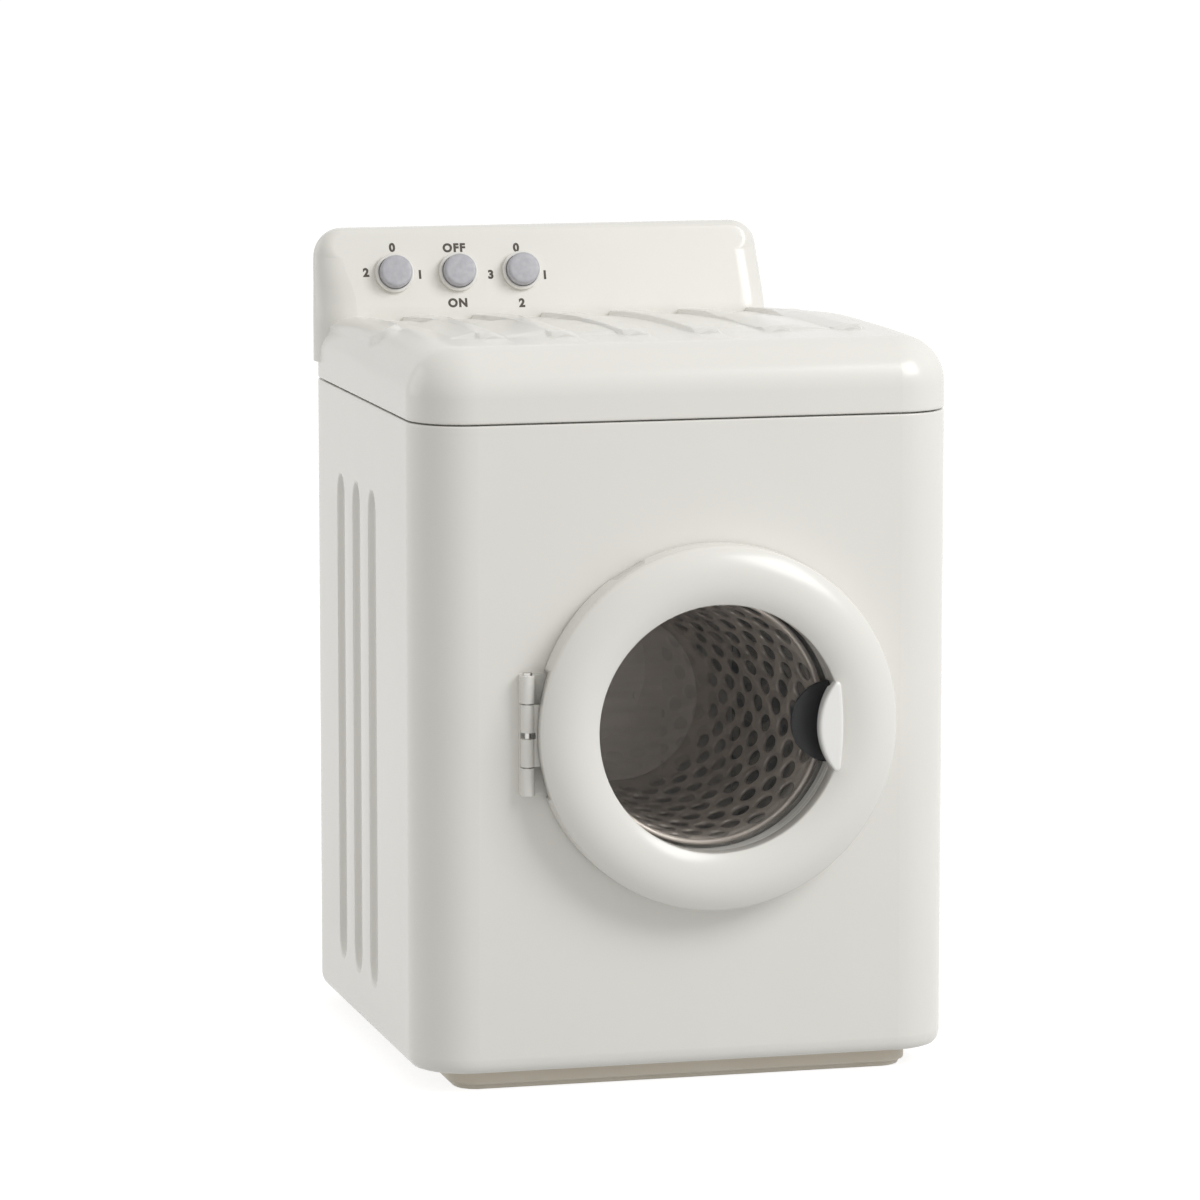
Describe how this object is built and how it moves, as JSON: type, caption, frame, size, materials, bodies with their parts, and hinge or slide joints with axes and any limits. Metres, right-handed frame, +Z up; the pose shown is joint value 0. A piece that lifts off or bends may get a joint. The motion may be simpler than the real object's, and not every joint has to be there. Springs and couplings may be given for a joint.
{
  "type": "toy washing machine",
  "caption": "Toy front-loading washing machine at doll scale with a hinged porthole door, a perforated drum that turns, turning knobs on a leaning console and a ribbed lid.",
  "frame": {"origin": "middle of the footprint on the surface that the toy stands on", "axes": "+Z up, -Y towards the door, +X to the right seen from the front"},
  "size_m": [0.1049, 0.1098, 0.1555],
  "materials": {
    "shell_cream": "glossy moulded cream-white plastic",
    "base_beige": "satin moulded beige-grey plastic",
    "knob_grey": "satin blue-grey plastic",
    "window_clear": "clear polished sheet",
    "pad_black": "satin black plastic",
    "magnet_dark": "dull dark ferrite",
    "drum_steel": "thin rolled sheet, softly brushed",
    "bush_brass": "turned",
    "plated_steel": "bright zinc plate"
  },
  "bodies": {
    "cabinet": {"cabinet_shell": "shell_cream", "base_pan": "base_beige", "plinth": "base_beige", "base_screws": "plated_steel", "back_cover": "shell_cream", "back_cover_screws": "plated_steel", "top_lid": "shell_cream", "lid_screws": "plated_steel", "console_shell": "shell_cream", "console_back": "shell_cream", "console_back_screws": "plated_steel", "console_screws": "plated_steel", "bezel_left": "shell_cream", "bezel_middle": "shell_cream", "bezel_right": "shell_cream", "opening_collar": "shell_cream", "cabinet_hinge_leaf": "shell_cream", "cabinet_leaf_screws": "plated_steel", "hinge_pin": "plated_steel", "catch_magnet": "magnet_dark", "spindle_bush": "bush_brass", "bearing_pedestal": "base_beige", "pedestal_screws": "plated_steel"},
    "door": {"door_ring": "shell_cream", "door_glass": "window_clear", "glass_retainer": "shell_cream", "retainer_screws": "plated_steel", "door_handle": "shell_cream", "handle_backing": "pad_black", "handle_screws": "plated_steel", "door_hinge_leaf": "shell_cream", "door_leaf_screws": "plated_steel", "strike_disc": "plated_steel"},
    "drum": {"drum_shell": "drum_steel", "drum_back_plate": "drum_steel", "drum_spindle": "plated_steel", "drum_rivets": "plated_steel", "spindle_clip": "plated_steel"},
    "left_knob": {"knob_left": "knob_grey", "knob_clip_left": "plated_steel"},
    "middle_knob": {"knob_middle": "knob_grey", "knob_clip_middle": "plated_steel"},
    "right_knob": {"knob_right": "knob_grey", "knob_clip_right": "plated_steel"}
  },
  "joints": [
    {"name": "door_hinge", "type": "hinge", "parent": "cabinet", "child": "door", "pos_m": [-0.03155, -0.04745, 0.0682], "axis": [0, 0, -1], "range_deg": [0, 105]},
    {"name": "drum_spin", "type": "hinge", "parent": "cabinet", "child": "drum", "pos_m": [0.00435, -0.0395, 0.0686], "axis": [0, 0.9962, -0.0872], "continuous": true},
    {"name": "left_knob_turn", "type": "hinge", "parent": "cabinet", "child": "left_knob", "pos_m": [-0.03695, 0.03964, 0.1466], "axis": [0, 0.9511, -0.309], "range_deg": [-90, 90]},
    {"name": "middle_knob_turn", "type": "hinge", "parent": "cabinet", "child": "middle_knob", "pos_m": [-0.02405, 0.03964, 0.1466], "axis": [0, 0.9511, -0.309], "range_deg": [0, 180]},
    {"name": "right_knob_turn", "type": "hinge", "parent": "cabinet", "child": "right_knob", "pos_m": [-0.01115, 0.03964, 0.1466], "axis": [0, 0.9511, -0.309], "range_deg": [0, 270]}
  ]
}
